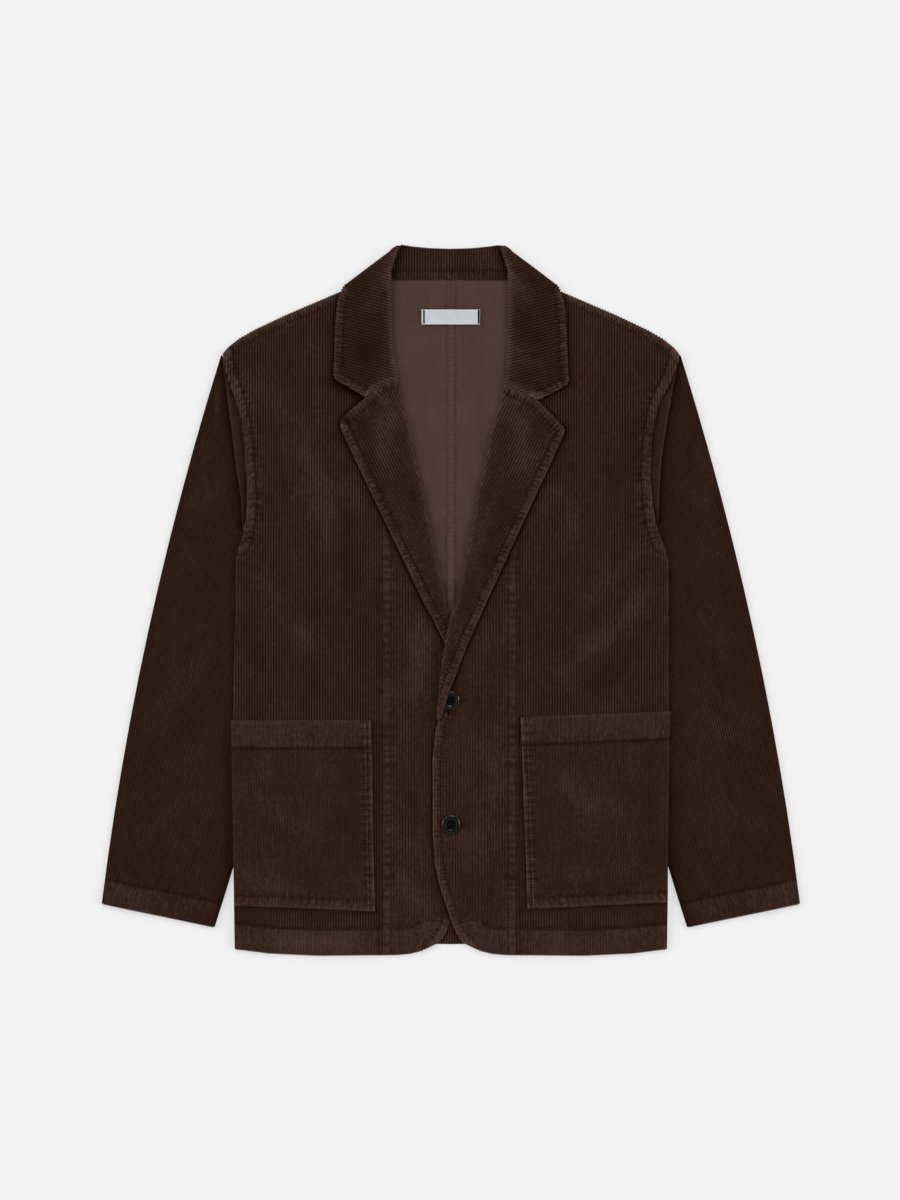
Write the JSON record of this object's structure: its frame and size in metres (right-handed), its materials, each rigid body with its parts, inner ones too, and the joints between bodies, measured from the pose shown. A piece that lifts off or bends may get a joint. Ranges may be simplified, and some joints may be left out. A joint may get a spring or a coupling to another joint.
{
  "type": "corduroy jacket",
  "caption": "Single-breasted corduroy jacket with notched lapels and large patch pockets, laid flat on its back with the sleeves beside it.",
  "frame": {"origin": "centre of the bounding box's bottom: on the surface that the jacket lies on, under its middle", "axes": "+X to the wearer's left, +Y towards the collar, +Z away from the surface that it lies on"},
  "size_m": [0.7852, 0.8, 0.0153],
  "materials": {
    "corduroy": "wide-wale cotton pile, dark brown, pale on the ridges",
    "corduroy_inside": "plain inner side of the corduroy, mauve brown",
    "label": "smooth woven ribbon, bare",
    "horn": "polished black-brown horn"
  },
  "bodies": {
    "root": {"side_front_left": "corduroy", "side_front_right": "corduroy", "centre_front_left": "corduroy", "centre_front_right": "corduroy", "lapel_left": "corduroy", "lapel_right": "corduroy", "collar": "corduroy", "pocket_left": "corduroy", "pocket_right": "corduroy", "sleeve_left": "corduroy", "sleeve_right": "corduroy", "back_left": "corduroy_inside", "back_right": "corduroy_inside", "neck_label": "label", "button_upper": "horn", "button_lower": "horn"}
  },
  "joints": []
}
